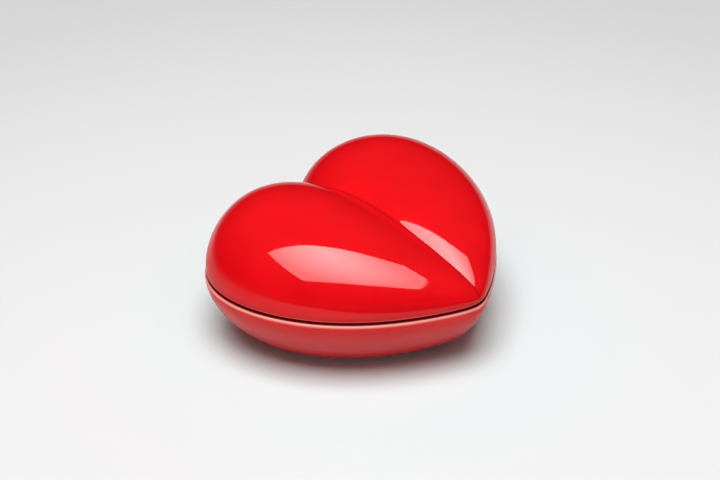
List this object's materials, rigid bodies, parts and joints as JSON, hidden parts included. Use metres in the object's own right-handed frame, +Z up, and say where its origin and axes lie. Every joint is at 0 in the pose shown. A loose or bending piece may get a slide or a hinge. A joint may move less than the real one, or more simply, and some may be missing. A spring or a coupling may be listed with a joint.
{
  "type": "jewellery box",
  "caption": "Heart-shaped glazed ceramic jewellery box: a hollow two-lobed lid lifts straight off a bowl-shaped base and seats round its collar.",
  "frame": {"origin": "centre of the bounding box in plan, on the plane that the foot ring stands on", "axes": "+Z up, the way the lid lifts; X across the two lobes, with the mirror plane at x = 0; +Y from the heart's tip to its notch"},
  "size_m": [0.1312, 0.113, 0.0637],
  "materials": {
    "base_glaze": "glossy red glaze",
    "lid_glaze": "glossy red glaze"
  },
  "bodies": {
    "base": {"base": "base_glaze"},
    "lid": {"lid": "lid_glaze"}
  },
  "joints": [
    {"name": "lid_lift", "type": "slide", "parent": "base", "child": "lid", "axis": [0, 0, 1], "range_m": [0, 0.08]}
  ]
}
